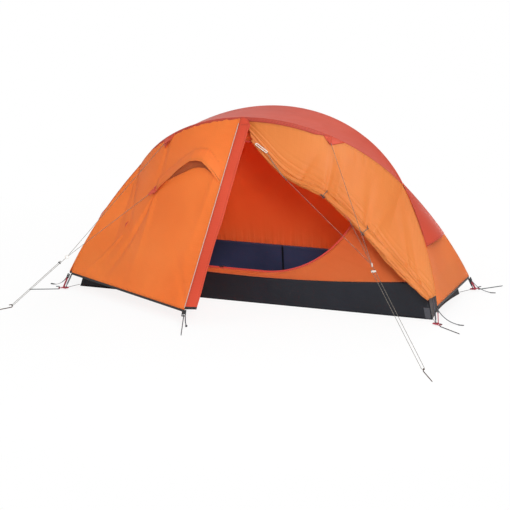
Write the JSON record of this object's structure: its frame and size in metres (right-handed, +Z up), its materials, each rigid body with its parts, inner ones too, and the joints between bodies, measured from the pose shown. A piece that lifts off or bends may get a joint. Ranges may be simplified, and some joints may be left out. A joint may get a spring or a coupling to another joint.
{
  "type": "tent",
  "caption": "One-person arched trekking tent on crossed poles, with an orange and red fly, a porch with one door half rolled up, an inner tent on a dark tub floor, guy lines and pegs.",
  "frame": {"origin": "middle of the groundsheet's underside, on the floor", "axes": "+X along the tent to the right seen from the porch, +Y from the porch to the back, +Z up"},
  "size_m": [2.745, 2.0095, 1.0802],
  "materials": {
    "fly_orange": "woven polyester, satin",
    "fly_red": "woven polyester, satin",
    "inner_orange": "thin breathable cloth",
    "groundsheet": "coated cloth, faint sheen",
    "webbing_red": "woven webbing",
    "webbing_grey": "woven webbing",
    "binding_black": "woven tape",
    "cord_grey": "braided cord",
    "piping": "reflective piping",
    "zip_red": "zip tape",
    "pole": "anodised",
    "peg": "bare wire",
    "plastic_dark": "moulded",
    "plastic_pale": "moulded",
    "slider_metal": "coated die-cast"
  },
  "bodies": {
    "tent": {"corner_straps": "webbing_red", "door_tie_loops": "cord_grey", "fly_back": "fly_orange", "fly_door_piping": "piping", "fly_door_roll": "fly_orange", "fly_end_hood_left": "fly_red", "fly_end_hood_right": "fly_red", "fly_end_left": "fly_orange", "fly_end_right": "fly_orange", "fly_hem_binding": "binding_black", "fly_porch_left": "fly_orange", "fly_porch_right": "fly_orange", "fly_roof": "fly_red", "fly_vent_hood": "fly_red", "fly_zip_tape": "zip_red", "front_pole_ferrules": "pole", "front_pole_shock_cord": "cord_grey", "front_pole_sleeve": "fly_red", "front_pole_tubes": "pole", "groundsheet_tub": "groundsheet", "guy_legs_left": "cord_grey", "guy_legs_right": "cord_grey", "guy_ring_left": "plastic_pale", "guy_ring_right": "plastic_pale", "guy_tabs": "fly_red", "guy_tail_left": "cord_grey", "guy_tail_right": "cord_grey", "inner_back": "inner_orange", "inner_door_roll": "inner_orange", "inner_door_zip": "zip_red", "inner_end_left": "inner_orange", "inner_end_right": "inner_orange", "inner_front": "inner_orange", "inner_hangers": "webbing_grey", "inner_roof": "inner_orange", "pole_tips": "pole", "porch_peg_tab": "webbing_red", "rear_pole_ferrules": "pole", "rear_pole_shock_cord": "cord_grey", "rear_pole_sleeve": "fly_red", "rear_pole_tubes": "pole", "strap_buckles": "plastic_dark", "strap_tails": "webbing_grey", "tub_corner_cords": "cord_grey"},
    "zip_slider": {"fly_zip_slider": "slider_metal"},
    "zip_pull": {"fly_zip_pull": "plastic_dark"},
    "storm_flap": {"fly_storm_flap": "fly_red"},
    "inner_slider": {"inner_zip_slider": "slider_metal"},
    "inner_pull": {"inner_zip_pull": "plastic_dark"},
    "runner_left": {"guy_runner_left": "plastic_dark"},
    "runner_right": {"guy_runner_right": "plastic_pale"},
    "toggle_upper": {"door_toggle_upper": "plastic_pale"},
    "toggle_lower": {"door_toggle_lower": "plastic_dark"},
    "corner_peg_front_left": {"peg_front_left": "peg"},
    "corner_peg_front_right": {"peg_front_right": "peg"},
    "corner_peg_back_right": {"peg_back_right": "peg"},
    "corner_peg_back_left": {"peg_back_left": "peg"},
    "porch_peg": {"peg_porch": "peg"},
    "line_peg_left": {"guy_peg_left": "peg"},
    "line_peg_right": {"guy_peg_right": "peg"}
  },
  "joints": [
    {"name": "fly_zip_slide", "type": "slide", "parent": "tent", "child": "zip_slider", "axis": [-0.0789, -0.547, -0.8334], "range_m": [0, 1.05]},
    {"name": "fly_zip_pull_swing", "type": "hinge", "parent": "zip_slider", "child": "zip_pull", "pos_m": [-0.07651, -0.26615, 1.00592], "axis": [0.9955, 0, -0.0943], "range_deg": [-15, 60]},
    {"name": "storm_flap_fold", "type": "hinge", "parent": "tent", "child": "storm_flap", "pos_m": [-0.08782, -0.23316, 1.07534], "axis": [-0.0789, -0.547, -0.8334], "range_deg": [0, 130]},
    {"name": "inner_zip_slide", "type": "slide", "parent": "tent", "child": "inner_slider", "axis": [1, -0.0036, 0], "range_m": [0, 0.15]},
    {"name": "inner_zip_pull_swing", "type": "hinge", "parent": "inner_slider", "child": "inner_pull", "pos_m": [-0.18965, -0.27378, 0.19196], "axis": [-0.0289, 0.1332, 0.9907], "range_deg": [-60, 60]},
    {"name": "guy_runner_left_slide", "type": "slide", "parent": "tent", "child": "runner_left", "axis": [-0.5599, -0.5688, -0.6024], "range_m": [0, 0.12]},
    {"name": "guy_runner_right_slide", "type": "slide", "parent": "tent", "child": "runner_right", "axis": [0.5574, -0.7035, -0.4409], "range_m": [0, 0.12]},
    {"name": "door_toggle_upper_turn", "type": "hinge", "parent": "tent", "child": "toggle_upper", "pos_m": [0.44301, -0.32167, 0.66903], "axis": [-0.0956, -0.9954, 0], "range_deg": [-50, 50]},
    {"name": "door_toggle_lower_turn", "type": "hinge", "parent": "tent", "child": "toggle_lower", "pos_m": [0.68931, -0.35246, 0.47896], "axis": [-0.1247, -0.9922, 0], "range_deg": [-50, 50]},
    {"name": "peg_front_left_swing", "type": "hinge", "parent": "tent", "child": "corner_peg_front_left", "pos_m": [-1.17472, -0.4215, 0.0105], "axis": [0, 0, 1], "range_deg": [-12, 12]},
    {"name": "peg_front_right_swing", "type": "hinge", "parent": "tent", "child": "corner_peg_front_right", "pos_m": [1.17007, -0.4294, 0.0105], "axis": [0, 0, 1], "range_deg": [-12, 12]},
    {"name": "peg_back_right_swing", "type": "hinge", "parent": "tent", "child": "corner_peg_back_right", "pos_m": [1.17572, 0.43428, 0.0105], "axis": [0, 0, 1], "range_deg": [-12, 12]},
    {"name": "peg_back_left_swing", "type": "hinge", "parent": "tent", "child": "corner_peg_back_left", "pos_m": [-1.17958, 0.43035, 0.0105], "axis": [0, 0, 1], "range_deg": [-12, 12]},
    {"name": "peg_porch_lift", "type": "hinge", "parent": "tent", "child": "porch_peg", "pos_m": [-0.16232, -0.93641, 0.06441], "axis": [-0.9542, -0.299, 0], "range_deg": [0, 60]},
    {"name": "guy_peg_left_swing", "type": "hinge", "parent": "tent", "child": "line_peg_left", "pos_m": [-1.24976, -0.88796, 0.0105], "axis": [0, 0, 1], "range_deg": [-12, 12]},
    {"name": "guy_peg_right_swing", "type": "hinge", "parent": "tent", "child": "line_peg_right", "pos_m": [1.30923, -1.27773, 0.0105], "axis": [0, 0, 1], "range_deg": [-12, 12]}
  ]
}
